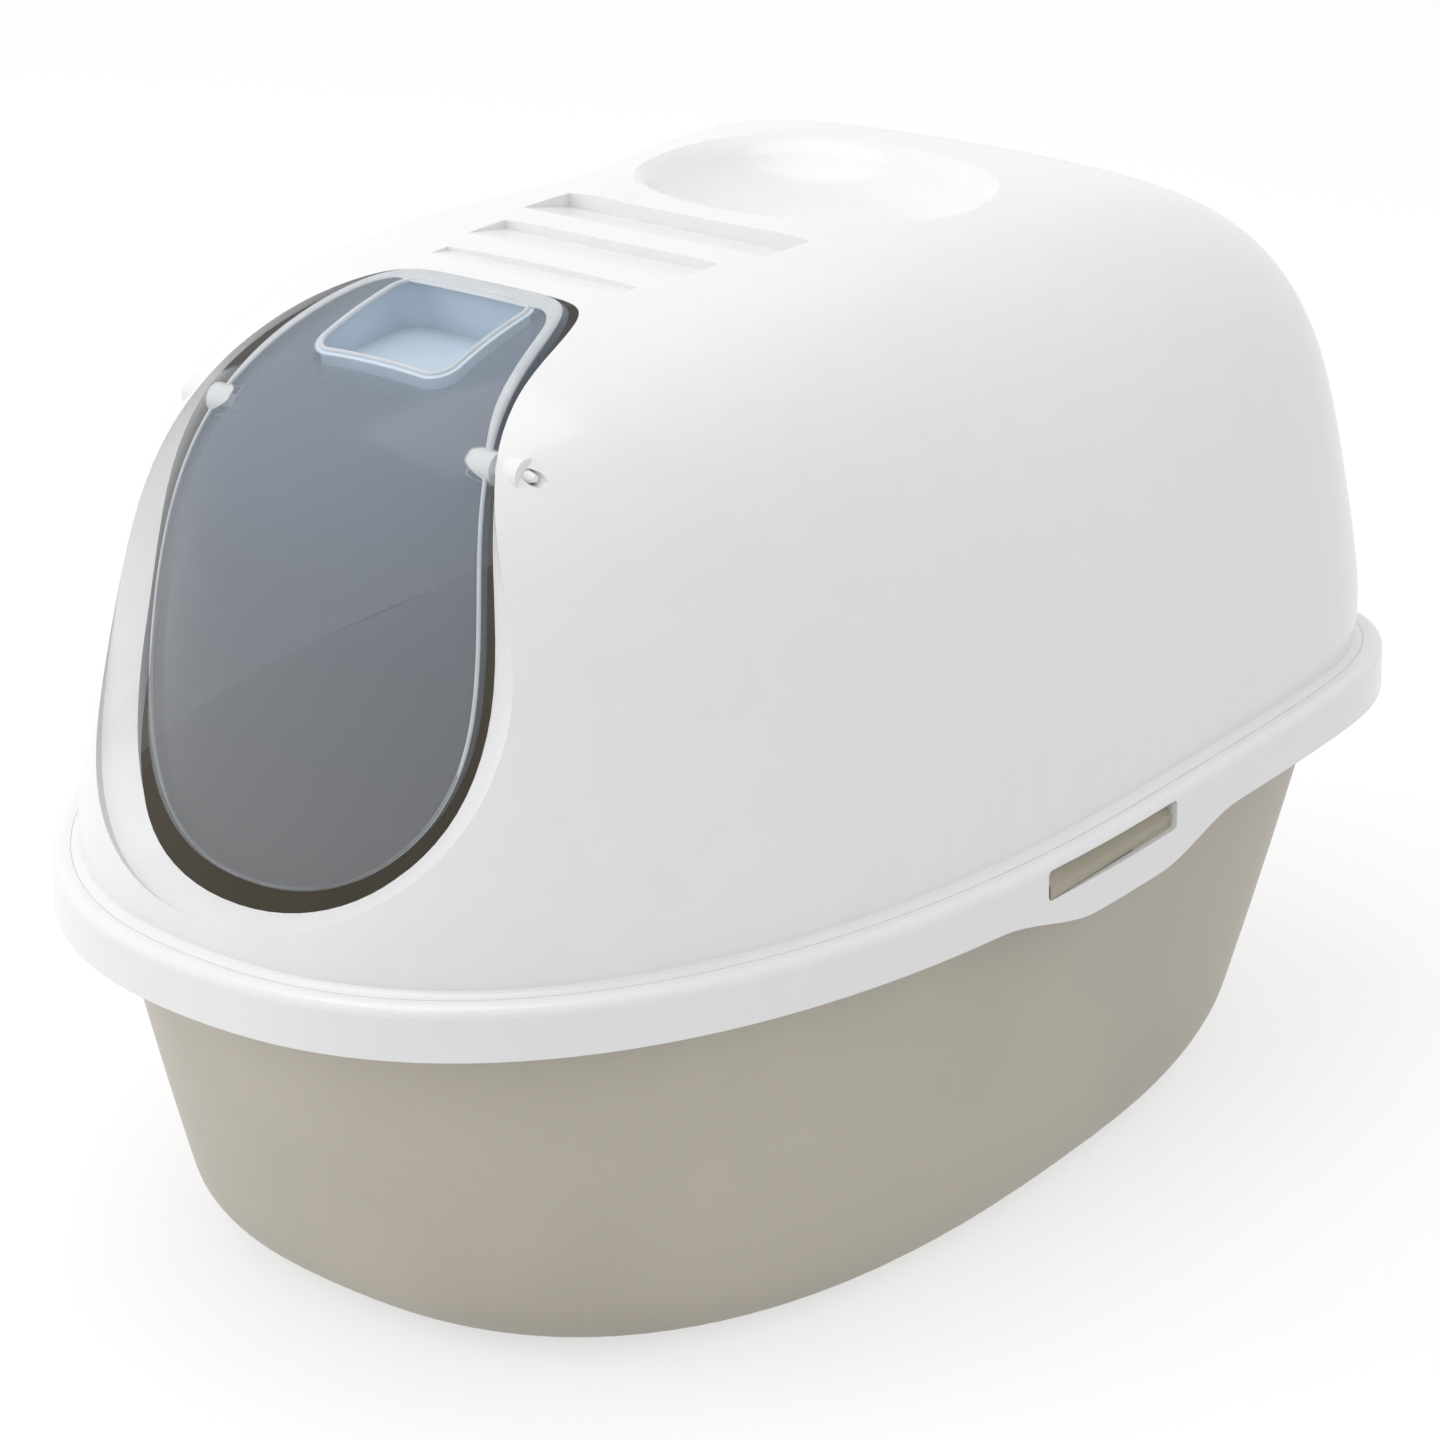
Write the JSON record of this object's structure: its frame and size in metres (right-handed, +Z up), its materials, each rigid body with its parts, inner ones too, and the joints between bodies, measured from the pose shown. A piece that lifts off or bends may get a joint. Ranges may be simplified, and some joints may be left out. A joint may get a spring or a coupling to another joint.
{
  "type": "hooded cat litter box",
  "caption": "Covered litter tray for a cat: deep tub, domed lift-off hood with a see-through swing flap on pins, and press-in side latches.",
  "frame": {"origin": "centre of the overall footprint, on the floor", "axes": "+Z up, -Y out of the doorway, +X to the right of someone facing the doorway"},
  "size_m": [0.3898, 0.5693, 0.3784],
  "materials": {
    "tub_plastic": "satin moulded polypropylene",
    "hood_plastic": "polished moulded polypropylene",
    "flap_plastic": "clear smoky moulding",
    "pin_plastic": "clear moulding",
    "tab_plastic": "satin moulded polypropylene"
  },
  "bodies": {
    "pan": {"pan": "tub_plastic"},
    "hood": {"hood": "hood_plastic", "pivot_pin_right": "pin_plastic", "pivot_pin_left": "pin_plastic"},
    "flap": {"flap": "flap_plastic"},
    "latch_right": {"latch_tab_right": "tab_plastic"},
    "latch_left": {"latch_tab_left": "tab_plastic"}
  },
  "joints": [
    {"name": "hood_lift", "type": "slide", "parent": "pan", "child": "hood", "axis": [0, 0, 1], "range_m": [0, 0.3]},
    {"name": "flap_swing", "type": "hinge", "parent": "hood", "child": "flap", "pos_m": [0, -0.189, 0.34], "axis": [1, 0, 0], "range_deg": [-60, 55]},
    {"name": "latch_right_press", "type": "hinge", "parent": "pan", "child": "latch_right", "pos_m": [0.186, 0.012, 0.147], "axis": [0, -1, 0], "range_deg": [0, 13], "stiffness_Nm_per_rad": 0.8},
    {"name": "latch_left_press", "type": "hinge", "parent": "pan", "child": "latch_left", "pos_m": [-0.186, 0.012, 0.147], "axis": [0, 1, 0], "range_deg": [0, 13], "stiffness_Nm_per_rad": 0.8}
  ]
}
